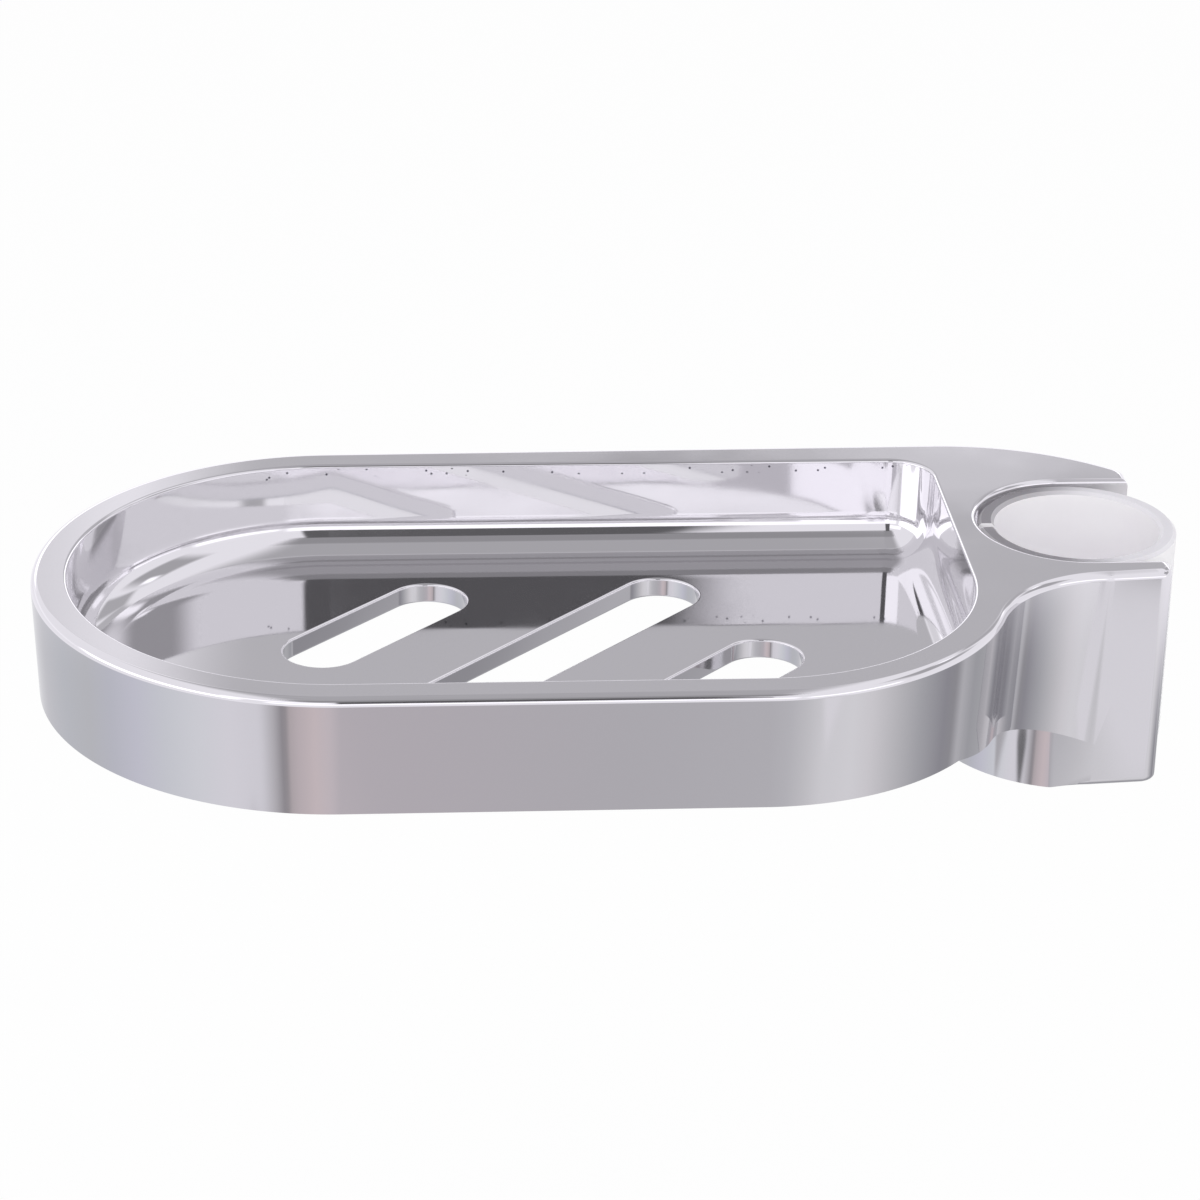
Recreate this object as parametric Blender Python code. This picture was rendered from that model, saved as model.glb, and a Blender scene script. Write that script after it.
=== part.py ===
"""Shower rail soap dish: a chrome-plated oblong dish whose clip grips a split sleeve on a round rail.

Metres, +Z up. The origin is on the rail's axis, level with the clip's lower face. The dish reaches
towards -X, the clip's mouth opens towards +X, and +Y is the side of the straight long edge.
"""

import functools
import math

import bmesh
import bpy

# Rail and sleeve
RAIL_DIAMETER = 0.0200
RAIL_CLEARANCE = 0.0001
SLEEVE_DIAMETER = 0.0242
SLEEVE_SPLIT = 0.0010
SLEEVE_RECESS = 0.0006
SLEEVE_CHAMFER = 0.0004

# Gap between the sleeve and its socket
FIT_CLEARANCE = 0.0003

# Clip
CLIP_HEIGHT = 0.0284
CLIP_WALL = 0.0043
JAW_REACH = 0.0088
JAW_ROOT_WALL = 0.0038
JAW_TIP_WALL = 0.0033
JAW_CREASE_BACK = 0.0043
JAW_STEP_END = 0.0024
COLUMN_FAR_ANGLE = math.radians(45)
TIP_RADIUS = 0.0010
SOCKET_EDGE_RADIUS = 0.0006

# Dish outline, seen from above
DISH_REACH = 0.1263
DISH_WIDTH = 0.0710
RAIL_OFFSET = 0.0117
NEAR_CORNER_RADIUS = 0.0318
NEAR_CORNER_BACK = 0.0431
NECK_RADIUS = 0.0160
FAR_CORNER_RADIUS = 0.0320
FAR_CORNER_BACK = 0.0138
FAR_SIDE_FLARE = 0.0010

# Skirt and the web that runs down to the clip
SKIRT_HEIGHT = 0.0145
SKIRT_DRAFT = 0.0006
SKIRT_WALL = 0.0026
GROOVE_HEIGHT = 0.0036
GROOVE_CHAMFER = 0.0010
WEB_START_BACK = 0.0195
WEB_ANGLE = math.radians(22)
OUTER_EDGE_RADIUS = 0.0010

# Bowl
RIM_WIDTH = 0.0042
BOWL_DEPTH = 0.0115
BOWL_LEAN = 0.0003
BOWL_FILLET = 0.0046
BOWL_CORNER_RADIUS = 0.0052
BOWL_WALL = 0.0024
FLOOR_WALL = 0.0025
RIM_EDGE_RADIUS = 0.0004

# Drain slots: three parallel slots, laid out alike when the middle one is turned end for end
SLOT_ANGLE = math.radians(46.7)
SLOT_WIDTH = 0.0095
SLOT_EDGE_RADIUS = 0.0003
SLOT_PITCH = 0.0203
SLOT_SHIFT = 0.0072
LONG_SLOT = 0.0548
SHORT_SLOT = 0.0285
SLOT_CENTRE_BACK = 0.0660

# Cutters run past the faces that they open, the large ones further
OVERRUN = 0.0050
BLOCK_OVERRUN = 0.0100

# Steps in round stretches
END_STEPS = 40
HOLLOW_STEPS = 34
CORNER_STEPS = 20
TIP_STEPS = 4
FILLET_STEPS = 5
EDGE_STEPS = 3
SLEEVE_STEPS = 72

# Edges that bend by more than this are shaded sharp
SHARP_ANGLE = math.radians(30)

# Sizes that follow from those above
SOCKET_RADIUS = SLEEVE_DIAMETER / 2 + FIT_CLEARANCE
COLUMN_RADIUS = SOCKET_RADIUS + CLIP_WALL
HALF_WIDTH = DISH_WIDTH / 2
DISH_Y = -RAIL_OFFSET
END_X = HALF_WIDTH - DISH_REACH
NEAR_CORNER = (-NEAR_CORNER_BACK, DISH_Y - HALF_WIDTH + NEAR_CORNER_RADIUS)
FAR_CORNER = (-FAR_CORNER_BACK, DISH_Y + HALF_WIDTH + FAR_SIDE_FLARE - FAR_CORNER_RADIUS)
JAW_ROOT_Y = -SOCKET_RADIUS - JAW_ROOT_WALL
JAW_TIP_Y = -SOCKET_RADIUS - JAW_TIP_WALL
TOP = CLIP_HEIGHT
SKIRT_FOOT = TOP - SKIRT_HEIGHT
BOWL_FLOOR = TOP - BOWL_DEPTH


def arc(centre, radius, start, end, steps):
    """Points along an arc, both ends included; angles in degrees."""
    points = []
    for i in range(steps + 1):
        angle = math.radians(start + (end - start) * i / steps)
        points.append((centre[0] + radius * math.cos(angle), centre[1] + radius * math.sin(angle)))
    return points


def neck_arc(draft):
    """The hollow curve from the near corner to the clip's near jaw, tangent to both."""
    y = JAW_ROOT_Y - NECK_RADIUS
    reach = NEAR_CORNER_RADIUS - draft + NECK_RADIUS
    drop = y - NEAR_CORNER[1]
    x = NEAR_CORNER[0] + math.sqrt(reach**2 - drop**2)
    meet = math.degrees(math.atan2(drop, x - NEAR_CORNER[0]))
    return (x, y), meet


def dish_outline(draft=0.0, wall=0.0, end_steps=END_STEPS):
    """The dish and clip from above, socket not yet cut.

    draft draws in all but the clip's flank, and wall draws in the whole outline.
    """
    neck, meet = neck_arc(draft)
    tip = JAW_REACH - TIP_RADIUS - wall
    near_tip = (tip, JAW_TIP_Y + wall + TIP_RADIUS)
    far_radius = FAR_CORNER_RADIUS - draft - wall
    turn = math.acos((tip - FAR_CORNER[0]) / (far_radius - TIP_RADIUS))
    far_tip = (tip, FAR_CORNER[1] + (far_radius - TIP_RADIUS) * math.sin(turn))
    far_end = math.degrees(turn)
    corner_steps = end_steps // 2
    points = arc((END_X, DISH_Y), HALF_WIDTH - draft - wall, 90, 270, end_steps)
    points += arc(NEAR_CORNER, NEAR_CORNER_RADIUS - draft - wall, -90, meet, corner_steps)
    points += arc(neck, NECK_RADIUS + wall, 180 + meet, 90, corner_steps)[1:]
    points += arc(near_tip, TIP_RADIUS, -90, 0, TIP_STEPS)
    points += arc(far_tip, TIP_RADIUS, 0, far_end, TIP_STEPS)
    points += arc(FAR_CORNER, far_radius, far_end, 90, corner_steps)[1:]
    return points


def bowl_outline(inset, lean=0.0):
    """The bowl's edge from above, drawn in by inset from the rim's inner edge.

    lean draws the far wall in further, the ends by half as much and the near wall not at all.
    """
    shift = lean / 2
    middle_y = DISH_Y - shift
    far_y = middle_y + HALF_WIDTH - RIM_WIDTH
    wall_x = NEAR_CORNER[0] + NEAR_CORNER_RADIUS - RIM_WIDTH
    near_corner = (NEAR_CORNER[0], NEAR_CORNER[1] - shift)
    far_corner = (wall_x - BOWL_CORNER_RADIUS, far_y - BOWL_CORNER_RADIUS)
    drawn_in = inset + shift
    points = arc((END_X, middle_y), HALF_WIDTH - RIM_WIDTH - drawn_in, 90, 270, END_STEPS)
    points += arc(near_corner, NEAR_CORNER_RADIUS - RIM_WIDTH - drawn_in, -90, 0, CORNER_STEPS)
    points += arc(far_corner, BOWL_CORNER_RADIUS - drawn_in, 0, 90, TIP_STEPS * 2)
    return points


def slot_outline(centre, length, grow):
    """A round-ended slot from above, grown all round by grow."""
    half = (length - SLOT_WIDTH) / 2
    along = (math.cos(SLOT_ANGLE), math.sin(SLOT_ANGLE))
    turn = math.degrees(SLOT_ANGLE)
    radius = SLOT_WIDTH / 2 + grow
    far = (centre[0] + half * along[0], centre[1] + half * along[1])
    near = (centre[0] - half * along[0], centre[1] - half * along[1])
    points = arc(far, radius, turn - 90, turn + 90, CORNER_STEPS)
    return points + arc(near, radius, turn + 90, turn + 270, CORNER_STEPS)


def socket_outline(grow):
    """The clip's U-shaped socket from above, open past the jaws' tips."""
    radius = SOCKET_RADIUS + grow
    end = JAW_REACH + OVERRUN
    return arc((0, 0), radius, 90, 270, END_STEPS) + [(end, -radius), (end, radius)]


def column_outline():
    """The clip's wall below the web: round behind the rail, flat along the near jaw."""
    crease_angle = 180 + math.degrees(math.acos(JAW_CREASE_BACK / COLUMN_RADIUS))
    crease_y = COLUMN_RADIUS * math.sin(math.radians(crease_angle))
    slope = (JAW_ROOT_Y - crease_y) / (JAW_STEP_END + JAW_CREASE_BACK)
    end = COLUMN_RADIUS + OVERRUN
    end_y = crease_y + slope * (end + JAW_CREASE_BACK)
    far_y = COLUMN_RADIUS * math.sin(COLUMN_FAR_ANGLE)
    back = arc((0, 0), COLUMN_RADIUS, math.degrees(COLUMN_FAR_ANGLE), crease_angle, END_STEPS)
    return back + [(end, end_y), (end, far_y)]


def sleeve_outline(inset):
    """The split ring from above; inset draws in its outer and inner edges for the chamfers."""
    outer = SLEEVE_DIAMETER / 2 - inset
    inner = RAIL_DIAMETER / 2 + RAIL_CLEARANCE + inset
    outer_gap = math.degrees(math.asin(SLEEVE_SPLIT / 2 / outer))
    inner_gap = math.degrees(math.asin(SLEEVE_SPLIT / 2 / inner))
    points = arc((0, 0), outer, outer_gap - 180, 180 - outer_gap, SLEEVE_STEPS)
    return points + arc((0, 0), inner, 180 - inner_gap, inner_gap - 180, SLEEVE_STEPS)


def close_rings(bm, rings):
    """Faces between rings of as many corners each, and one on either end."""
    count = len(rings[0])
    for low, high in zip(rings, rings[1:]):
        for i in range(count):
            j = (i + 1) % count
            bm.faces.new((low[i], low[j], high[j], high[i]))
    bm.faces.new(rings[0])
    bm.faces.new(rings[-1])
    bmesh.ops.recalc_face_normals(bm, faces=bm.faces)


def link(name, bm):
    """A new object that holds the finished bmesh."""
    mesh = bpy.data.meshes.new(name)
    bm.to_mesh(mesh)
    bm.free()
    obj = bpy.data.objects.new(name, mesh)
    bpy.context.scene.collection.objects.link(obj)
    return obj


def loft(name, levels):
    """A closed solid through outlines of as many points each, given as (outline, height)."""
    bm = bmesh.new()
    rings = [[bm.verts.new((x, y, z)) for x, y in outline] for outline, z in levels]
    close_rings(bm, rings)
    return link(name, bm)


def guide(obj):
    """Marks a cutter, which is no piece of the object."""
    obj.hide_render = True
    obj.display_type = "WIRE"
    return obj


def combine(obj, other, operation="DIFFERENCE"):
    modifier = obj.modifiers.new(other.name, "BOOLEAN")
    modifier.operation = operation
    modifier.solver = "EXACT"
    modifier.object = other


def finish(obj, colour, roughness, metallic, alpha=1.0):
    """Gives a piece its material and smooth shading."""
    material = bpy.data.materials.new(obj.name)
    material.use_nodes = True
    shader = material.node_tree.nodes["Principled BSDF"]
    shader.inputs["Base Color"].default_value = (*colour, 1.0)
    shader.inputs["Roughness"].default_value = roughness
    shader.inputs["Metallic"].default_value = metallic
    shader.inputs["Alpha"].default_value = alpha
    obj.data.materials.append(material)
    obj.data.shade_smooth()
    obj.data.set_sharp_from_angle(angle=SHARP_ANGLE)


def rounded_edge(outline, radius, height, rising=False):
    """Rings that roll a cutter's wall out into the face at height, with a start past the face."""
    rings = []
    side = -1 if rising else 1
    for i in range(EDGE_STEPS + 1):
        angle = math.pi / 2 * i / EDGE_STEPS
        grow = radius * (1 - math.sin(angle))
        rings.append((outline(grow), height - side * radius * (1 - math.cos(angle))))
    return [(outline(radius), height + side * OVERRUN)] + rings


def dish_blank():
    """The dish and clip as one tall drafted block with rolled outer edges."""
    full_draft = SKIRT_DRAFT * CLIP_HEIGHT / SKIRT_HEIGHT
    foot = []
    head = []
    for i in range(EDGE_STEPS + 1):
        angle = math.pi / 2 * i / EDGE_STEPS
        inset = OUTER_EDGE_RADIUS * (1 - math.sin(angle))
        rise = OUTER_EDGE_RADIUS * (1 - math.cos(angle))
        foot.append((dish_outline(full_draft, inset), rise))
        head.append((dish_outline(0, inset), TOP - rise))
    return loft("dish_body", foot + head[::-1])


def column_guide():
    """The upright block that the clip fills, from under the top face to past its foot."""
    outline = column_outline()
    return guide(loft("column_guide", [(outline, -BLOCK_OVERRUN), (outline, TOP + OVERRUN)]))


def under_block():
    """All that lies below the skirt's foot and the sloping web."""
    end_x = COLUMN_RADIUS + BLOCK_OVERRUN
    web_end = SKIRT_FOOT - (end_x + WEB_START_BACK) * math.tan(WEB_ANGLE)
    floor = web_end - CLIP_HEIGHT
    near = DISH_Y - HALF_WIDTH - BLOCK_OVERRUN
    far = DISH_Y + HALF_WIDTH + BLOCK_OVERRUN
    levels = (
        (-DISH_REACH - BLOCK_OVERRUN, SKIRT_FOOT),
        (-WEB_START_BACK, SKIRT_FOOT),
        (end_x, web_end),
    )
    bm = bmesh.new()
    rings = []
    for x, z in levels:
        corners = ((x, near, floor), (x, near, z), (x, far, z), (x, far, floor))
        rings.append([bm.verts.new(corner) for corner in corners])
    close_rings(bm, rings)
    return guide(link("under_cutter", bm))


def bowl_cutter():
    """The bowl's hollow: flat floor, rounded foot, leaning far wall and rolled edge."""
    rings = []
    for i in range(FILLET_STEPS + 1):
        angle = math.pi / 2 * (1 - i / FILLET_STEPS)
        outline = bowl_outline(BOWL_FILLET * (1 - math.cos(angle)), BOWL_LEAN)
        rings.append((outline, BOWL_FLOOR + BOWL_FILLET * (1 - math.sin(angle))))
    edge = rounded_edge(lambda grow: bowl_outline(-grow), RIM_EDGE_RADIUS, TOP)
    return guide(loft("bowl_cutter", rings + edge[::-1]))


def shell_guide():
    """What stays solid round the bowl: its floor and foot, and above a groove the whole rim."""
    groove_top = SKIRT_FOOT + GROOVE_HEIGHT
    levels = (
        (0, BOWL_FLOOR - FLOOR_WALL),
        (0, groove_top - GROOVE_CHAMFER),
        (-BOWL_WALL, groove_top),
        (-BOWL_WALL, TOP + OVERRUN),
    )
    return guide(loft("shell_guide", [(bowl_outline(inset), z) for inset, z in levels]))


def hollow_guide():
    """The space inside the skirt, before the bowl's shell and the clip's column fill part of it."""
    outline = dish_outline(wall=SKIRT_WALL, end_steps=HOLLOW_STEPS)
    return guide(loft("hollow_guide", [(outline, -OVERRUN), (outline, TOP - SKIRT_WALL)]))


def under_cutter():
    """Everything open underneath: below skirt and web, and up between skirt, bowl and clip."""
    cutter = under_block()
    combine(cutter, hollow_guide(), "UNION")
    combine(cutter, shell_guide())
    combine(cutter, column_guide())
    return cutter


def slot_cutters():
    """The three drain slots with rolled upper edges."""
    across = (math.sin(SLOT_ANGLE), -math.cos(SLOT_ANGLE))
    along = (math.cos(SLOT_ANGLE), math.sin(SLOT_ANGLE))
    lengths = (SHORT_SLOT, LONG_SLOT, SHORT_SLOT)
    cutters = []
    for i, length in enumerate(lengths):
        row = i - 1
        x = -SLOT_CENTRE_BACK + row * (SLOT_PITCH * across[0] + SLOT_SHIFT * along[0])
        y = DISH_Y + row * (SLOT_PITCH * across[1] + SLOT_SHIFT * along[1])
        shape = functools.partial(slot_outline, (x, y), length)
        rings = [(shape(0), SKIRT_FOOT - OVERRUN)]
        rings += rounded_edge(shape, SLOT_EDGE_RADIUS, BOWL_FLOOR)[::-1]
        cutters.append(guide(loft(f"slot_cutter_{i + 1}", rings)))
    return cutters


def socket_cutter():
    foot = rounded_edge(socket_outline, SOCKET_EDGE_RADIUS, 0, rising=True)
    head = rounded_edge(socket_outline, SOCKET_EDGE_RADIUS, TOP)
    return guide(loft("socket_cutter", foot + head[::-1]))


def dish_body():
    """One moulding: dish, rim, skirt, web and clip."""
    body = dish_blank()
    for cutter in (under_cutter(), bowl_cutter(), *slot_cutters(), socket_cutter()):
        combine(body, cutter)
    finish(body, (0.72, 0.73, 0.75), 0.08, 1.0)


def rail_sleeve():
    """The split plastic sleeve that fills the socket and grips the rail; its split faces the dish."""
    levels = (
        (SLEEVE_CHAMFER, SLEEVE_RECESS),
        (0, SLEEVE_RECESS + SLEEVE_CHAMFER),
        (0, TOP - SLEEVE_RECESS - SLEEVE_CHAMFER),
        (SLEEVE_CHAMFER, TOP - SLEEVE_RECESS),
    )
    sleeve = loft("rail_sleeve", [(sleeve_outline(inset), z) for inset, z in levels])
    finish(sleeve, (0.76, 0.74, 0.78), 0.35, 0.0, 0.85)


def main():
    for obj in list(bpy.data.objects):
        bpy.data.objects.remove(obj, do_unlink=True)
    dish_body()
    rail_sleeve()


main()
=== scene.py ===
"""Shower rail soap dish, dressed for the photograph: chrome-plated dish and split rail sleeve.

Metres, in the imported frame: the rail's axis is Z, the dish reaches towards -X and the clip's mouth
opens towards +X. The dish hangs above a white floor, and its chrome mirrors the cards and mats
round it.
"""

import math

import bmesh
import bpy
from mathutils import Matrix, Vector


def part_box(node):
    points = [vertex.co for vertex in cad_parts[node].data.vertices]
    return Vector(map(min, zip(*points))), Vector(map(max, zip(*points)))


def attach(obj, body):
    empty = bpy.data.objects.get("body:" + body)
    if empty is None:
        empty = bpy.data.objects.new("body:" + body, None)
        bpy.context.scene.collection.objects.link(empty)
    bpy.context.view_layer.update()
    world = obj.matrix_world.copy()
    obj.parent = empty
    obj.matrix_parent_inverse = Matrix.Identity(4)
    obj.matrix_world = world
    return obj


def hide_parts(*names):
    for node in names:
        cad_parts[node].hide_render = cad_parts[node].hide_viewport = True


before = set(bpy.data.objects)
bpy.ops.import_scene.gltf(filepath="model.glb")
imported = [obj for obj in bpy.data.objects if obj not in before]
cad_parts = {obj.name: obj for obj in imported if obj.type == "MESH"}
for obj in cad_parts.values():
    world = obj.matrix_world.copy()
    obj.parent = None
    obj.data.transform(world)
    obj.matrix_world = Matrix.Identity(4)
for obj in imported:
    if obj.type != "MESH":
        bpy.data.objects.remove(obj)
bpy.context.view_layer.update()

MM = 0.001

# Dish and clip, from the solids' own sizes
DISH_LOW, DISH_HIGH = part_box("dish_body")
SLEEVE_LOW, SLEEVE_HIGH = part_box("rail_sleeve")
TOP = DISH_HIGH.z
SLEEVE_RADIUS = SLEEVE_HIGH.y
SLEEVE_CLEARANCE = 0.3 * MM
SOCKET_RADIUS = SLEEVE_RADIUS + SLEEVE_CLEARANCE
JAW_REACH = DISH_HIGH.x
HALF_WIDTH = 35.5 * MM
DISH_Y = DISH_LOW.y + HALF_WIDTH
END_X = DISH_LOW.x + HALF_WIDTH
NEAR_CORNER_RADIUS = 31.8 * MM
NEAR_CORNER = (-43.1 * MM, DISH_LOW.y + NEAR_CORNER_RADIUS)
FAR_CORNER_RADIUS = 32.0 * MM
FAR_CORNER = (-13.8 * MM, DISH_HIGH.y - FAR_CORNER_RADIUS)
NECK_RADIUS = 16.0 * MM
JAW_ROOT_WALL = 3.8 * MM
JAW_TIP_WALL = 3.3 * MM
JAW_ROOT_Y = -SOCKET_RADIUS - JAW_ROOT_WALL
JAW_TIP_Y = -SOCKET_RADIUS - JAW_TIP_WALL
TIP_RADIUS = 1.6 * MM
SOCKET_ROLL = 0.6 * MM
COLUMN_WALL = 4.3 * MM
COLUMN_RADIUS = SOCKET_RADIUS + COLUMN_WALL
CREASE_X = -4.3 * MM
STEP_END_X = 2.4 * MM
COLUMN_FAR_ANGLE = 45

# Skirt, web and underside
SKIRT_HEIGHT = 14.5 * MM
SKIRT_FOOT = TOP - SKIRT_HEIGHT
SKIRT_DRAFT = 0.6 * MM
SKIRT_WALL = 2.6 * MM
OUTER_ROLL = 1.0 * MM
GROOVE_RISE = 3.6 * MM
GROOVE_TOP = SKIRT_FOOT + GROOVE_RISE
GROOVE_CHAMFER = 1.0 * MM
WEB_START_X = -19.5 * MM
WEB_SLOPE = math.tan(math.radians(22))

# Bowl and drain slots
RIM_WIDTH = 4.2 * MM
BOWL_DEPTH = 11.5 * MM
BOWL_FLOOR = TOP - BOWL_DEPTH
BOWL_LEAN = 0.3 * MM
BOWL_FILLET = 4.6 * MM
BOWL_CORNER_RADIUS = 5.2 * MM
BOWL_WALL = 2.4 * MM
FLOOR_WALL = 2.5 * MM
RIM_ROLL = 0.4 * MM
SLOT_ANGLE = math.radians(46.7)
SLOT_WIDTH = 9.5 * MM
SLOT_ROLL = 0.3 * MM
SLOT_PITCH = 20.3 * MM
SLOT_SHIFT = 7.2 * MM
LONG_SLOT = 54.8 * MM
SHORT_SLOT = 28.5 * MM
SLOT_CENTRE_X = -66.0 * MM

# Sleeve
BORE_RADIUS = 10.1 * MM
SLEEVE_SPLIT = 1.0 * MM
SLEEVE_CHAMFER = 0.4 * MM

# Finish of the chrome: patches of wiping haze, soft sink marks of the moulding, and a row of pits,
# each about 0.3 mm across, which lies between two depths under the rim of the far wall
HAZE_PATCH = 11.0 * MM
SINK_SPACING = 14.0 * MM
SINK_DEPTH = 0.03 * MM
PIT_SPACING = 1.7 * MM
PIT_CORE_RADIUS = 0.102 * MM
PIT_EDGE_RADIUS = 0.187 * MM
PIT_ROW_HIGH = 0.6 * MM
PIT_ROW_LOW = 1.5 * MM
PIT_ROW_EDGE = 0.1 * MM
FAR_WALL_Y = DISH_Y + HALF_WIDTH - RIM_WIDTH

# The renderer follows this many mirrorings in a row; after that many the chrome shows a painted
# reflection
LAST_MIRROR = 4

# Finish of the sleeve: milky clouds, and the reach from the rail's axis of its painted end shade
CLOUD_SIZE = 6.0 * MM
PAINTED_END_SHADE_REACH = 5.0 * MM

# Cutters run past what they open
PAST = 5.0 * MM
FAR_PAST = 10.0 * MM

# Steps to a half turn and in small rolls. The hollow has fewer, so that its facets cross the
# skirt's and never lie in them.
HALF_TURN_STEPS = 96
HOLLOW_TURN_STEPS = 90
ROLL_STEPS = 8
FILLET_STEPS = 16

# Edges that bend more than this are shaded sharp, and points closer than this are merged
SHARP = math.radians(32)
MERGE_DISTANCE = 0.001 * MM

UP = Vector((0, 0, 1))

# Studio
DISH_MIDDLE = Vector((-0.06, -0.01, 0.02))
FLOOR_Z = -0.14
FLOOR_SIZE = 3.0
MAT_RADIUS = 0.45
MAT_EDGE = 0.1

# Brightness, with white as 1: of the room on the sleeve, of room and paper in the chrome, and of
# the paper's own white to the camera, over which the soft shadow shows
ROOM_LIGHT = 0.8
COOL_WHITE = "#FBF9FF"
ROOM_IN_CHROME = 1.03
PAPER_IN_CHROME = 1.05
PAPER_GLOW = 0.93

# The round mat's tone by azimuth
MAT_TONES = (
    (-180, "#DDDDE0"), (-160, "#E6E6E9"), (-140, "#D1D1D6"), (-120, "#CACCD2"), (-104, "#C9CACF"),
    (-92, "#CBCCD6"), (-80, "#D4D4E0"), (-68, "#DBDDE4"), (-56, "#E4E5EB"), (-44, "#E9E7EE"),
    (-33, "#E5E3EA"), (-28, "#C0BDC2"), (-25, "#99959A"), (-24, "#A19CA0"), (-22.8, "#BFB6B9"),
    (-20, "#CBC0C4"), (-14, "#D8CBCE"), (-9, "#D4CACF"), (-4, "#C4BEC4"), (6, "#C0BEC3"),
    (18, "#C8C7CC"), (25, "#D4D3D7"), (32, "#E2E1E5"), (44, "#E7E6EA"), (52, "#E1DFE3"),
    (64, "#CBCACE"), (76, "#B3B3B8"), (90, "#99989F"), (96, "#9B9A9F"), (101, "#C0BFC4"),
    (110, "#AAAAAF"), (130, "#B8B8BC"),
)

# Camera, fitted to the photograph
LENS = 120
SENSOR_WIDTH = 36
CAMERA_PLACE = (-0.09775, -0.44238, 0.22106)
CAMERA_RIGHT = (0.99665, -0.07876, 0.0221)
CAMERA_UP = (0.01267, 0.41552, 0.9095)
CAMERA_BACK = (-0.08081, -0.90617, 0.41512)


# Outlines are drawn by carrying a point along straights and round arcs

def start(bm, x, y, z):
    return bm.verts.new((x, y, z))


def turn(bm, tip, centre, degrees, steps):
    """Carries the outline round an arc to the left, or to the right with negative degrees."""
    pivot = (centre[0], centre[1], tip.co.z)
    done = bmesh.ops.spin(
        bm, geom=[tip], cent=pivot, axis=UP, angle=math.radians(degrees), steps=steps,
        space=Matrix(),
    )
    return next(v for v in done["geom_last"] if isinstance(v, bmesh.types.BMVert))


def run(bm, tip, x, y):
    """Carries the outline straight to a place."""
    end = bmesh.ops.extrude_vert_indiv(bm, verts=[tip])["verts"][0]
    end.co = (x, y, tip.co.z)
    return end


def close(bm, tip, first):
    bmesh.ops.contextual_create(bm, geom=[tip, first])


def dish_ring(bm, z, draft=0.0, inset=0.0, steps=HALF_TURN_STEPS):
    """The dish, neck and clip from above.

    draft draws in the dish alone, as the skirt's slope does, and inset the clip as well.
    """
    neck_y = JAW_ROOT_Y - NECK_RADIUS
    reach = NEAR_CORNER_RADIUS - draft + NECK_RADIUS
    drop = neck_y - NEAR_CORNER[1]
    neck = (NEAR_CORNER[0] + math.sqrt(reach**2 - drop**2), neck_y)
    meet = math.degrees(math.atan2(drop, neck[0] - NEAR_CORNER[0]))
    tip_x = JAW_REACH - TIP_RADIUS - inset
    near_tip = (tip_x, JAW_TIP_Y + inset + TIP_RADIUS)
    far_radius = FAR_CORNER_RADIUS - draft - inset
    end_angle = math.acos((tip_x - FAR_CORNER[0]) / (far_radius - TIP_RADIUS))
    far_tip = (tip_x, FAR_CORNER[1] + (far_radius - TIP_RADIUS) * math.sin(end_angle))
    end_turn = math.degrees(end_angle)

    first = start(bm, END_X, DISH_Y + HALF_WIDTH - draft - inset, z)
    tip = turn(bm, first, (END_X, DISH_Y), 180, steps)
    tip = run(bm, tip, NEAR_CORNER[0], tip.co.y)
    tip = turn(bm, tip, NEAR_CORNER, 90 + meet, steps // 2)
    tip = turn(bm, tip, neck, -(90 + meet), steps // 3)
    tip = run(bm, tip, near_tip[0], near_tip[1] - TIP_RADIUS)
    tip = turn(bm, tip, near_tip, 90, ROLL_STEPS)
    tip = run(bm, tip, far_tip[0] + TIP_RADIUS, far_tip[1])
    tip = turn(bm, tip, far_tip, end_turn, ROLL_STEPS)
    tip = turn(bm, tip, FAR_CORNER, 90 - end_turn, steps // 2)
    close(bm, tip, first)


def bowl_ring(bm, z, inset, lean=0.0):
    """The bowl from above, drawn in from the rim's inner edge.

    lean draws the far wall in further, the ends by half as much and the near wall not at all.
    """
    shift = lean / 2
    middle_y = DISH_Y - shift
    near_corner = (NEAR_CORNER[0], NEAR_CORNER[1] - shift)
    wall_x = NEAR_CORNER[0] + NEAR_CORNER_RADIUS - RIM_WIDTH
    corner = (wall_x - BOWL_CORNER_RADIUS, middle_y + HALF_WIDTH - RIM_WIDTH - BOWL_CORNER_RADIUS)
    first = start(bm, END_X, middle_y + HALF_WIDTH - RIM_WIDTH - inset - shift, z)
    tip = turn(bm, first, (END_X, middle_y), 180, HALF_TURN_STEPS)
    tip = run(bm, tip, near_corner[0], tip.co.y)
    tip = turn(bm, tip, near_corner, 90, HALF_TURN_STEPS // 2)
    tip = run(bm, tip, tip.co.x, corner[1])
    tip = turn(bm, tip, corner, 90, HALF_TURN_STEPS // 4)
    close(bm, tip, first)


def slot_ring(bm, z, grow, centre, length):
    along = Vector((math.cos(SLOT_ANGLE), math.sin(SLOT_ANGLE)))
    side = Vector((-along.y, along.x))
    half = (length - SLOT_WIDTH) / 2
    radius = SLOT_WIDTH / 2 + grow
    far = Vector(centre) + along * half
    near = Vector(centre) - along * half
    corner = far - side * radius
    first = start(bm, corner.x, corner.y, z)
    tip = turn(bm, first, far, 180, HALF_TURN_STEPS // 3)
    corner = near + side * radius
    tip = run(bm, tip, corner.x, corner.y)
    tip = turn(bm, tip, near, 180, HALF_TURN_STEPS // 3)
    close(bm, tip, first)


def socket_ring(bm, z, grow):
    radius = SOCKET_RADIUS + grow
    end = JAW_REACH + PAST
    first = start(bm, 0, radius, z)
    tip = turn(bm, first, (0, 0), 180, HALF_TURN_STEPS)
    tip = run(bm, tip, end, -radius)
    tip = run(bm, tip, end, radius)
    close(bm, tip, first)


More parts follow.
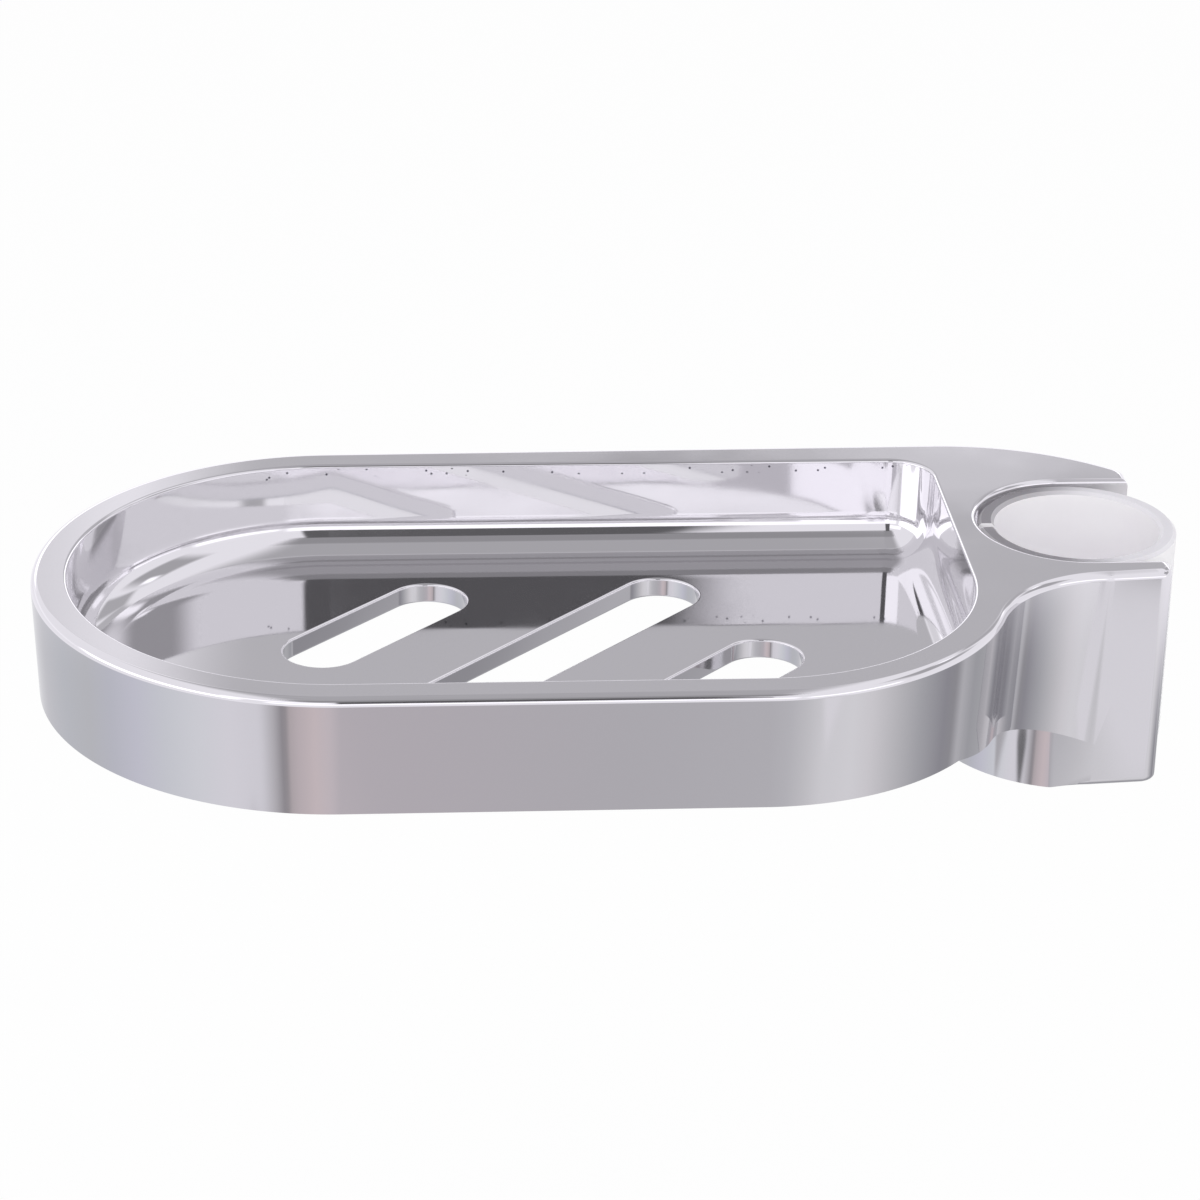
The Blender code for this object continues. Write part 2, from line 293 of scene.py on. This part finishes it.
def column_ring(bm, z):
    """The clip's wall below the web."""
    crease_turn = 180 + math.degrees(math.acos(-CREASE_X / COLUMN_RADIUS)) - COLUMN_FAR_ANGLE
    end = COLUMN_RADIUS + PAST
    far = Matrix.Rotation(math.radians(COLUMN_FAR_ANGLE), 2) @ Vector((COLUMN_RADIUS, 0))
    first = start(bm, far.x, far.y, z)
    tip = turn(bm, first, (0, 0), crease_turn, HALF_TURN_STEPS)
    slope = (JAW_ROOT_Y - tip.co.y) / (STEP_END_X - CREASE_X)
    tip = run(bm, tip, end, tip.co.y + slope * (end - CREASE_X))
    tip = run(bm, tip, end, far.y)
    close(bm, tip, first)


# Solids between rings, and what is cut from them

def link(name, bm):
    mesh = bpy.data.meshes.new(name)
    bm.to_mesh(mesh)
    bm.free()
    obj = bpy.data.objects.new(name, mesh)
    bpy.context.scene.collection.objects.link(obj)
    return obj


def loft(name, draw, levels):
    """A closed solid through rings, each drawn by draw(bm, *level)."""
    bm = bmesh.new()
    rings = []
    for level in levels:
        before = len(bm.edges)
        draw(bm, *level)
        bm.edges.ensure_lookup_table()
        rings.append(bm.edges[before:])
    for low, high in zip(rings, rings[1:]):
        bmesh.ops.bridge_loops(bm, edges=low + high)
    for ring in (rings[0], rings[-1]):
        bmesh.ops.contextual_create(bm, geom=ring)
    bmesh.ops.recalc_face_normals(bm, faces=bm.faces)
    return link(name, bm)


def roll(radius, steps):
    """(inset, depth) pairs round a quarter turn, from the wall to the face."""
    pairs = []
    for i in range(steps + 1):
        angle = math.pi / 2 * i / steps
        pairs.append((radius * (1 - math.cos(angle)), radius * (1 - math.sin(angle))))
    return pairs


def cut(obj, tool, operation="DIFFERENCE"):
    modifier = obj.modifiers.new(tool.name, "BOOLEAN")
    modifier.operation = operation
    modifier.solver = "EXACT"
    modifier.object = tool
    return tool


def settle(obj, tools):
    """Applies what is cut from a piece and clears the tools away."""
    graph = bpy.context.evaluated_depsgraph_get()
    mesh = bpy.data.meshes.new_from_object(obj.evaluated_get(graph))
    obj.modifiers.clear()
    obj.data = mesh
    for tool in tools:
        bpy.data.objects.remove(tool, do_unlink=True)
    bm = bmesh.new()
    bm.from_mesh(mesh)
    bmesh.ops.remove_doubles(bm, verts=bm.verts, dist=MERGE_DISTANCE)
    bm.to_mesh(mesh)
    bm.free()


def dish_blank():
    """Dish and clip as one tall drafted block with rolled edges."""
    full_draft = SKIRT_DRAFT * TOP / (TOP - SKIRT_FOOT)
    foot = [(depth, full_draft, inset) for inset, depth in roll(OUTER_ROLL, ROLL_STEPS)]
    head = [(TOP - depth, 0.0, inset) for inset, depth in roll(OUTER_ROLL, ROLL_STEPS)]
    return loft("chrome_dish", dish_ring, foot[::-1] + head)


def bowl_tool():
    fillet = roll(BOWL_FILLET, FILLET_STEPS)
    foot = [(BOWL_FLOOR + depth, inset, BOWL_LEAN) for inset, depth in fillet]
    edge = [(TOP - inset, -depth) for inset, depth in roll(RIM_ROLL, ROLL_STEPS)[::-1]]
    return loft("bowl_tool", bowl_ring, foot[::-1] + edge + [(TOP + PAST, -RIM_ROLL)])


def slot_tools():
    along = Vector((math.cos(SLOT_ANGLE), math.sin(SLOT_ANGLE)))
    across = Vector((along.y, -along.x))
    edge = roll(SLOT_ROLL, ROLL_STEPS)
    lower = [(BOWL_FLOOR - FLOOR_WALL + drop, grow) for drop, grow in edge]
    upper = [(BOWL_FLOOR - drop, grow) for drop, grow in edge[::-1]]
    levels = [(SKIRT_FOOT - PAST, SLOT_ROLL)] + lower + upper + [(BOWL_FLOOR + PAST, SLOT_ROLL)]
    tools = []
    for row, length in ((-1, SHORT_SLOT), (0, LONG_SLOT), (1, SHORT_SLOT)):
        centre = Vector((SLOT_CENTRE_X, DISH_Y)) + row * (SLOT_PITCH * across + SLOT_SHIFT * along)
        rings = [(z, grow, centre, length) for z, grow in levels]
        tools.append(loft(f"slot_tool_{row + 2}", slot_ring, rings))
    return tools


def socket_tool():
    edge = roll(SOCKET_ROLL, ROLL_STEPS)[::-1]
    head = [(TOP - inset, depth) for inset, depth in edge] + [(TOP + PAST, SOCKET_ROLL)]
    foot = [(inset, depth) for inset, depth in edge] + [(-PAST, SOCKET_ROLL)]
    return loft("socket_tool", socket_ring, foot[::-1] + head)


def under_tools():
    """The hollow underside: all below skirt and web, and inside the skirt round bowl and clip."""
    bm = bmesh.new()
    end_x = COLUMN_RADIUS + FAR_PAST
    low = SKIRT_FOOT - (end_x - WEB_START_X) * WEB_SLOPE - TOP
    near = start(bm, DISH_LOW.x - FAR_PAST, DISH_LOW.y - FAR_PAST, low)
    tip = near
    for x, z in (
        (DISH_LOW.x - FAR_PAST, SKIRT_FOOT),
        (WEB_START_X, SKIRT_FOOT),
        (end_x, SKIRT_FOOT - (end_x - WEB_START_X) * WEB_SLOPE),
        (end_x, low),
    ):
        tip = run(bm, tip, x, tip.co.y)
        tip.co.z = z
    close(bm, tip, near)
    side = bmesh.ops.contextual_create(bm, geom=bm.edges[:])["faces"]
    pulled = bmesh.ops.extrude_face_region(bm, geom=side)["geom"]
    across = Vector((0, DISH_HIGH.y - DISH_LOW.y + 2 * FAR_PAST, 0))
    pulled = [v for v in pulled if isinstance(v, bmesh.types.BMVert)]
    bmesh.ops.translate(bm, vec=across, verts=pulled)
    bmesh.ops.recalc_face_normals(bm, faces=bm.faces)
    block = link("under_tool", bm)
    hollow = loft(
        "hollow_tool",
        lambda bm, z: dish_ring(bm, z, 0.0, SKIRT_WALL, HOLLOW_TURN_STEPS),
        [(-PAST,), (TOP - SKIRT_WALL,)],
    )
    shell = loft("shell_tool", bowl_ring, [
        (BOWL_FLOOR - FLOOR_WALL, 0.0),
        (GROOVE_TOP - GROOVE_CHAMFER, 0.0),
        (GROOVE_TOP, -BOWL_WALL),
        (TOP + PAST, -BOWL_WALL),
    ])
    column = loft("column_tool", column_ring, [(-FAR_PAST,), (TOP + PAST,)])
    cut(block, hollow, "UNION")
    cut(block, shell)
    cut(block, column)
    return [block, hollow, shell, column]


def chrome_dish():
    dish = dish_blank()
    tools = under_tools()
    cut(dish, tools[0])
    for tool in (bowl_tool(), *slot_tools(), socket_tool()):
        tools.append(cut(dish, tool))
    settle(dish, tools)
    return dish


def put_in_order(bm):
    """Lists points, edges and faces by their place: spin lists them in another order each run."""
    for part, place in (
        (bm.verts, lambda vert: vert.co[:]),
        (bm.edges, lambda edge: sorted(vert.index for vert in edge.verts)),
        (bm.faces, lambda face: sorted(vert.index for vert in face.verts)),
    ):
        for i, one in enumerate(sorted(part, key=place)):
            one.index = i
        part.sort()


def rail_sleeve():
    """The split ring: its chamfered section spun round the rail and closed at the split."""
    gap = math.asin(SLEEVE_SPLIT / 2 / BORE_RADIUS)
    bm = bmesh.new()
    inner, outer = BORE_RADIUS, SLEEVE_RADIUS
    low, high = SLEEVE_LOW.z, SLEEVE_HIGH.z
    c = SLEEVE_CHAMFER
    corners = ((inner, low + c), (inner + c, low), (outer - c, low), (outer, low + c),
               (outer, high - c), (outer - c, high), (inner + c, high), (inner, high - c))
    verts = [bm.verts.new((-r, 0, z)) for r, z in corners]
    face = bm.faces.new(verts)
    bmesh.ops.rotate(bm, verts=verts, cent=(0, 0, 0), matrix=Matrix.Rotation(gap, 3, "Z"))
    bmesh.ops.spin(
        bm, geom=[face] + list(face.edges), cent=(0, 0, 0), axis=UP,
        angle=2 * math.pi - 2 * gap, steps=HALF_TURN_STEPS * 2,
    )
    bmesh.ops.recalc_face_normals(bm, faces=bm.faces)
    put_in_order(bm)
    return link("milky_sleeve", bm)


# Materials

def linear(code):
    """A colour written as sRGB hex, as the shader wants it."""
    values = [int(code[i:i + 2], 16) / 255 for i in (1, 3, 5)]
    return (*[v / 12.92 if v <= 0.04045 else ((v + 0.055) / 1.055) ** 2.4 for v in values], 1.0)


def add(tree, kind, links=None, **settings):
    """A node with its settings, and links as {input: (node, output)}."""
    node = tree.nodes.new(kind)
    for name, value in settings.items():
        if name in node.inputs:
            node.inputs[name].default_value = value
        else:
            setattr(node, name, value)
    for name, (other, output) in (links or {}).items():
        tree.links.new(other.outputs[output], node.inputs[name])
    return node


def new_material(name):
    material = bpy.data.materials.new(name)
    material.use_nodes = True
    tree = material.node_tree
    return material, tree, tree.nodes["Principled BSDF"]


def band(tree, place, axis, low, high, soft):
    """1 between low and high along an axis of the piece, easing to 0 over soft."""
    part = add(tree, "ShaderNodeSeparateXYZ", {"Vector": (place, "Object")})
    rise = add(tree, "ShaderNodeMapRange", {"Value": (part, axis)}, interpolation_type="SMOOTHSTEP",
               **{"From Min": low - soft, "From Max": low})
    fall = add(tree, "ShaderNodeMapRange", {"Value": (part, axis)}, interpolation_type="SMOOTHSTEP",
               **{"From Min": high, "From Max": high + soft, "To Min": 1.0, "To Max": 0.0})
    return both(tree, (rise, "Result"), (fall, "Result"))


def both(tree, one, other):
    """1 where both masks are 1."""
    return add(tree, "ShaderNodeMath", {0: one, 1: other}, operation="MULTIPLY")


def bright_chrome():
    """Bright chrome plated on moulded ABS: a mirror that bends a little with the moulding's sink
    and flow, hazed where it was wiped, with plating pits under the rim of the far wall."""
    material, tree, shader = new_material("bright_chrome_on_abs")
    place = add(tree, "ShaderNodeTexCoord")
    shader.inputs["Metallic"].default_value = 1.0

    haze = add(tree, "ShaderNodeTexNoise", {"Vector": (place, "Object")},
               Scale=1 / HAZE_PATCH, Detail=4.0)
    rough = add(tree, "ShaderNodeMapRange", {"Value": (haze, "Fac")},
                **{"From Min": 0.35, "From Max": 0.7, "To Min": 0.03, "To Max": 0.08})
    tree.links.new(rough.outputs["Result"], shader.inputs["Roughness"])

    along = add(tree, "ShaderNodeSeparateXYZ", {"Vector": (place, "Object")})
    on_wall = add(tree, "ShaderNodeCombineXYZ", {"X": (along, "X"), "Y": (along, "Z")})
    spots = add(tree, "ShaderNodeTexVoronoi", {"Vector": (on_wall, "Vector")},
                voronoi_dimensions="2D", Scale=1 / PIT_SPACING)
    pit = add(tree, "ShaderNodeMapRange", {"Value": (spots, "Distance")},
              interpolation_type="SMOOTHSTEP",
              **{"From Min": PIT_CORE_RADIUS / PIT_SPACING,
                 "From Max": PIT_EDGE_RADIUS / PIT_SPACING, "To Min": 1.0, "To Max": 0.0})
    row = band(tree, place, "Z", TOP - PIT_ROW_LOW, TOP - PIT_ROW_HIGH, PIT_ROW_EDGE)
    wall = FAR_WALL_Y + 2 * PIT_ROW_EDGE
    far = band(tree, place, "Y", FAR_WALL_Y - PIT_ROW_LOW, wall, PIT_ROW_EDGE)
    there = both(tree, (row, "Value"), (far, "Value"))
    pits = both(tree, (there, "Value"), (pit, "Result"))
    tone = add(tree, "ShaderNodeValToRGB", {"Fac": (pits, "Value")})
    tone.color_ramp.elements[0].color = linear("#E2E1E3")
    tone.color_ramp.elements[1].color = linear("#6A6870")
    tree.links.new(tone.outputs["Color"], shader.inputs["Base Color"])

    flow = add(tree, "ShaderNodeTexNoise", {"Vector": (place, "Object")},
               Scale=1 / SINK_SPACING, Detail=1.0)
    bend = add(tree, "ShaderNodeBump", {"Height": (flow, "Fac")}, Strength=1.0, Distance=SINK_DEPTH)
    tree.links.new(bend.outputs["Normal"], shader.inputs["Normal"])

    # Where mirror faces mirror until the renderer stops, the chrome glows with a painted reflection
    # of the room's mean tone instead of black
    path = add(tree, "ShaderNodeLightPath")
    painted_glow_switch = add(tree, "ShaderNodeMath", {0: (path, "Glossy Depth")}, operation="GREATER_THAN")
    painted_glow_switch.inputs[1].default_value = LAST_MIRROR - 0.5
    tree.links.new(painted_glow_switch.outputs["Value"], shader.inputs["Emission Strength"])
    # Colour of the painted reflection: the room's mean tone
    shader.inputs["Emission Color"].default_value = linear("#B9B7BD")
    material.cycles.emission_sampling = "NONE"
    return material


def milky_plastic():
    """Translucent polyethylene, moulded: satin and milky. Its end face carries painted shade, greyer
    towards the dish where the clip's walls take the light from it."""
    material, tree, shader = new_material("milky_polyethylene_painted_shade")
    place = add(tree, "ShaderNodeTexCoord")
    cloud = add(tree, "ShaderNodeTexNoise", {"Vector": (place, "Object")},
                Scale=1 / CLOUD_SIZE, Detail=3.0)
    milk = add(tree, "ShaderNodeValToRGB", {"Fac": (cloud, "Fac")})
    milk.color_ramp.elements[0].color = linear("#F4F1F6")
    milk.color_ramp.elements[1].color = linear("#FBF9FC")
    along = add(tree, "ShaderNodeSeparateXYZ", {"Vector": (place, "Object")})
    across = add(tree, "ShaderNodeMapRange", {"Value": (along, "X")},
                 interpolation_type="SMOOTHSTEP",
                 **{"From Min": -PAINTED_END_SHADE_REACH, "From Max": PAINTED_END_SHADE_REACH})
    # Painted shade for the end face: dark grey on the dish's side, light grey on the mouth's
    end = add(tree, "ShaderNodeValToRGB", {"Fac": (across, "Result")})
    end.color_ramp.elements[0].color = linear("#7D7A80")
    end.color_ramp.elements[1].color = linear("#D3D1D7")
    # Faces that look up take the painted shade, the rest take the milky colour
    facing = add(tree, "ShaderNodeNewGeometry")
    up = add(tree, "ShaderNodeSeparateXYZ", {"Vector": (facing, "Normal")})
    tone = add(tree, "ShaderNodeMix", {0: (up, "Z"), 6: (milk, "Color"), 7: (end, "Color")},
               data_type="RGBA")
    tree.links.new(tone.outputs[2], shader.inputs["Base Color"])
    shader.inputs["Roughness"].default_value = 0.45
    shader.inputs["Subsurface Weight"].default_value = 0.5
    shader.inputs["Subsurface Radius"].default_value = (1.0, 1.0, 1.0)
    shader.inputs["Subsurface Scale"].default_value = 2.0 * MM
    shader.inputs["IOR"].default_value = 1.5
    return material


def finish(obj, material):
    """Gives a piece its material, and smooth shading in which flats stay flat."""
    obj.data.materials.clear()
    obj.data.materials.append(material)
    obj.data.shade_smooth()
    obj.data.set_sharp_from_angle(angle=SHARP)
    steady = obj.modifiers.new("steady_faces", "WEIGHTED_NORMAL")
    steady.keep_sharp = True
    steady.weight = 80


# Studio

def around(azimuth, height, distance):
    """A place round the dish: azimuth 0 is in front and 90 on the clip's side, both in degrees."""
    azimuth, height = math.radians(azimuth), math.radians(height)
    level = Vector((math.sin(azimuth), -math.cos(azimuth), 0)) * math.cos(height)
    return DISH_MIDDLE + distance * (level + UP * math.sin(height))


def seen_by(tree, *kinds):
    """1 for light paths of any of these kinds."""
    path = add(tree, "ShaderNodeLightPath")
    share = (path, kinds[0])
    for kind in kinds[1:]:
        node = add(tree, "ShaderNodeMath", {0: share, 1: (path, kind)}, operation="MAXIMUM")
        share = (node, "Value")
    return share


def studio_floor():
    """White paper: it takes the soft shadow, and camera and chrome see it as white."""
    bm = bmesh.new()
    bmesh.ops.create_grid(bm, x_segments=1, y_segments=1, size=FLOOR_SIZE)
    bmesh.ops.translate(bm, vec=(0, 0, FLOOR_Z), verts=bm.verts)
    floor = link("floor", bm)
    material, tree, shader = new_material("white_paper")
    shader.inputs["Base Color"].default_value = linear("#F4F4F5")
    shader.inputs["Roughness"].default_value = 0.9
    glow = add(tree, "ShaderNodeEmission", Strength=1.0)
    part = add(tree, "ShaderNodeMath", {0: seen_by(tree, "Is Camera Ray")}, operation="MULTIPLY")
    part.inputs[1].default_value = PAPER_GLOW
    mix = add(tree, "ShaderNodeMixShader",
              {0: (part, "Value"), 1: (shader, "BSDF"), 2: (glow, "Emission")})
    mirrored = add(tree, "ShaderNodeEmission", Color=linear(COOL_WHITE), Strength=PAPER_IN_CHROME)
    share = seen_by(tree, "Is Glossy Ray")
    mix = add(tree, "ShaderNodeMixShader",
              {0: share, 1: (mix, "Shader"), 2: (mirrored, "Emission")})
    tree.links.new(mix.outputs["Shader"], tree.nodes["Material Output"].inputs["Surface"])
    floor.data.materials.append(material)


def studio_world():
    """An even pale room: white behind the object, a cool white in the chrome."""
    world = bpy.data.worlds.new("studio")
    bpy.context.scene.world = world
    world.use_nodes = True
    tree = world.node_tree
    room = tree.nodes["Background"]
    room.inputs["Color"].default_value = linear("#FFFFFF")
    room.inputs["Strength"].default_value = ROOM_LIGHT
    behind = add(tree, "ShaderNodeBackground", Color=linear("#FFFFFF"), Strength=1.0)
    mirrored = add(tree, "ShaderNodeBackground", Color=linear(COOL_WHITE), Strength=ROOM_IN_CHROME)
    share = seen_by(tree, "Is Camera Ray", "Is Transmission Ray")
    mix = add(tree, "ShaderNodeMixShader",
              {0: share, 1: (room, "Background"), 2: (behind, "Background")})
    share = seen_by(tree, "Is Glossy Ray")
    mix = add(tree, "ShaderNodeMixShader",
              {0: share, 1: (mix, "Shader"), 2: (mirrored, "Background")})
    tree.links.new(mix.outputs["Shader"], tree.nodes["World Output"].inputs["Surface"])


def aim(obj, place, target):
    place, target = Vector(place), Vector(target)
    obj.location = place
    obj.rotation_euler = (place - target).to_track_quat("Z", "Y").to_euler()


def softbox(name, place, width, height, brightness):
    """A soft lamp for the sleeve and the paper; the chrome sees the cards instead."""
    lamp = bpy.data.lights.new(name, "AREA")
    lamp.shape = "RECTANGLE"
    lamp.size, lamp.size_y = width, height
    lamp.energy = brightness * math.pi * width * height
    obj = bpy.data.objects.new(name, lamp)
    bpy.context.scene.collection.objects.link(obj)
    obj.visible_glossy = False
    obj.visible_camera = False
    aim(obj, place, DISH_MIDDLE)


def only_for_chrome(obj):
    obj.visible_camera = False
    obj.visible_diffuse = False
    obj.visible_shadow = False


def card(name, place, width, height, soft, shade, target=None):
    """A soft-edged card that only the chrome sees.

    soft is how far its edges fade, across and along; shade is how bright it looks, white being 1.
    """
    bm = bmesh.new()
    bmesh.ops.create_grid(bm, x_segments=1, y_segments=1, size=0.5)
    bmesh.ops.scale(bm, vec=(width, height, 1), verts=bm.verts)
    obj = link(name, bm)
    aim(obj, place, target or DISH_MIDDLE)
    material, tree, shader = new_material(name)
    tree.nodes.remove(shader)
    place = add(tree, "ShaderNodeTexCoord")
    across = band(tree, place, "X", soft[0] - width / 2, width / 2 - soft[0], soft[0])
    along = band(tree, place, "Y", soft[1] - height / 2, height / 2 - soft[1], soft[1])
    there = both(tree, (across, "Value"), (along, "Value"))
    glow = add(tree, "ShaderNodeEmission", Color=linear(COOL_WHITE), Strength=shade)
    clear = add(tree, "ShaderNodeBsdfTransparent")
    mix = add(tree, "ShaderNodeMixShader",
              {0: (there, "Value"), 1: (clear, "BSDF"), 2: (glow, "Emission")})
    tree.links.new(mix.outputs["Shader"], tree.nodes["Material Output"].inputs["Surface"])
    obj.data.materials.append(material)
    only_for_chrome(obj)


def level_card(name, x, y, z, width, height, soft, shade):
    """A card laid level, overhead or on the floor."""
    card(name, (x, y, z), width, height, soft, shade, (x, y, z - 1))


def floor_mat():
    """A round mat under the dish whose tone changes as it goes round: what the skirt mirrors."""
    bm = bmesh.new()
    bmesh.ops.create_circle(bm, cap_ends=True, segments=64, radius=MAT_RADIUS)
    obj = link("floor_mat", bm)
    obj.location = (DISH_MIDDLE.x, DISH_MIDDLE.y, FLOOR_Z + MM)
    material, tree, shader = new_material("floor_mat")
    tree.nodes.remove(shader)
    place = add(tree, "ShaderNodeTexCoord")
    facing = add(tree, "ShaderNodeMapping", {"Vector": (place, "Object")},
                 Rotation=(0, 0, math.pi / 2))
    round_it = add(tree, "ShaderNodeTexGradient", {"Vector": (facing, "Vector")},
                   gradient_type="RADIAL")
    tone = add(tree, "ShaderNodeValToRGB", {"Fac": (round_it, "Fac")})
    stops = tone.color_ramp.elements
    while len(stops) > 1:
        stops.remove(stops[-1])
    for i, (azimuth, colour) in enumerate(MAT_TONES):
        turned = 0.5 + azimuth / 360
        stop = stops[0] if i == 0 else stops.new(turned)
        stop.position = turned
        stop.color = linear(colour)
    glow = add(tree, "ShaderNodeEmission", {"Color": (tone, "Color")}, Strength=1.0)
    distance = add(tree, "ShaderNodeVectorMath", {0: (place, "Object")}, operation="LENGTH")
    there = add(tree, "ShaderNodeMapRange", {"Value": (distance, "Value")},
                interpolation_type="SMOOTHSTEP",
                **{"From Min": MAT_RADIUS - MAT_EDGE, "From Max": MAT_RADIUS,
                   "To Min": 1.0, "To Max": 0.0})
    clear = add(tree, "ShaderNodeBsdfTransparent")
    mix = add(tree, "ShaderNodeMixShader",
              {0: (there, "Result"), 1: (clear, "BSDF"), 2: (glow, "Emission")})
    tree.links.new(mix.outputs["Shader"], tree.nodes["Material Output"].inputs["Surface"])
    obj.data.materials.append(material)
    only_for_chrome(obj)


def camera():
    data = bpy.data.cameras.new("camera")
    data.lens = LENS
    data.sensor_width = SENSOR_WIDTH
    obj = bpy.data.objects.new("camera", data)
    bpy.context.scene.collection.objects.link(obj)
    turned = Matrix((CAMERA_RIGHT, CAMERA_UP, CAMERA_BACK)).transposed()
    obj.matrix_world = Matrix.Translation(CAMERA_PLACE) @ turned.to_4x4()
    bpy.context.scene.camera = obj


camera()
studio_floor()
studio_world()
floor_mat()
softbox("top_softbox", (-0.06, -0.5, 1.0), 0.8, 0.8, 1.7)
softbox("front_softbox", (-0.06, -1.1, 0.36), 1.2, 0.18, 1.5)

# Bright strips low round the room: the highlights along rims, rolls and jaws
card("front_strip", around(-4, 11, 1.2), 1.1, 0.40, (0.12, 0.08), 1.5)
card("left_strip", around(-71, 14, 1.2), 1.75, 0.42, (0.15, 0.05), 1.95)
card("left_back_strip", around(-124, 9, 1.22), 1.3, 0.26, (0.2, 0.05), 1.15)
card("right_strip", around(42, 8, 1.15), 0.95, 0.30, (0.12, 0.06), 1.55)
card("back_strip", around(171, 16, 1.2), 2.0, 0.28, (0.3, 0.05), 1.75)

# Brighter patches: in the bowl's fillet on the left, and in its right-hand end
card("left_glow", around(-25, 29, 1.1), 0.78, 0.26, (0.07, 0.06), 1.5)
card("end_glow", around(110, 41, 0.95), 0.22, 0.18, (0.09, 0.07), 1.5)

# The camera's own dark side: the dark bar in the bowl's floor
card("camera_shade", (-0.0415, -0.43, 0.295), 0.127, 0.26, (0.02, 0.015), 0.14, (-0.0415, 1, 0.295))

# The ceiling: the grey bands in the bowl's foot, and the grey of the dish seen from above
level_card("ceiling_front", DISH_MIDDLE.x, -0.85, 1.0, 0.92, 0.75, (0.28, 0.12), 0.36)
level_card("ceiling_middle", DISH_MIDDLE.x, -0.4, 1.02, 0.92, 1.5, (0.3, 0.15), 0.5)
level_card("ceiling_back", DISH_MIDDLE.x, 0.72, 1.04, 0.92, 1.1, (0.28, 0.2), 0.5)

# The back of the room: the grey of the bowl's floor, rim and deck
card("back_shade", around(166, 31, 1.0), 0.66, 0.444, (0.06, 0.08), 0.58)
card("deck_glow", around(167, 22, 0.97), 0.10, 0.04, (0.03, 0.012), 0.74)
card("far_rim_shade", around(173, 22.4, 0.96), 0.08, 0.032, (0.025, 0.01), 0.5)
card("rim_shade", around(193, 25, 1.03), 0.26, 0.16, (0.05, 0.03), 0.86)
card("corner_shade", around(134, 30, 1.01), 0.42, 0.44, (0.1, 0.08), 0.52)
card("right_shade", around(92, 36, 1.0), 0.9, 0.5, (0.28, 0.1), 0.48)

# Mats and papers on the floor: the stripes of neck and column, the clip's flank, and the floor that
# the bowl's far wall shows through the slots
level_card("neck_mat", -0.285, -0.145, FLOOR_Z + 2 * MM, 0.06, 0.07, (0.015, 0.015), 0.5)
level_card("flank_mat", 0.195, -0.39, FLOOR_Z + 2 * MM, 0.13, 0.10, (0.03, 0.03), 0.5)
level_card("slot_paper", -0.04, -0.46, FLOOR_Z + 2 * MM, 0.26, 0.20, (0.02, 0.02), 1.0)
level_card("flank_paper", 0.135, -0.32, FLOOR_Z + 1.5 * MM, 0.07, 0.12, (0.015, 0.015), 0.87)
level_card("column_mat", -0.214, -0.222, FLOOR_Z + 2 * MM, 0.05, 0.05, (0.015, 0.015), 0.2)

dish = chrome_dish()
finish(dish, bright_chrome())
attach(dish, "dish")
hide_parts("dish_body")

sleeve = rail_sleeve()
finish(sleeve, milky_plastic())
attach(sleeve, "sleeve")
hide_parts("rail_sleeve")

bpy.context.scene.view_settings.view_transform = "Standard"
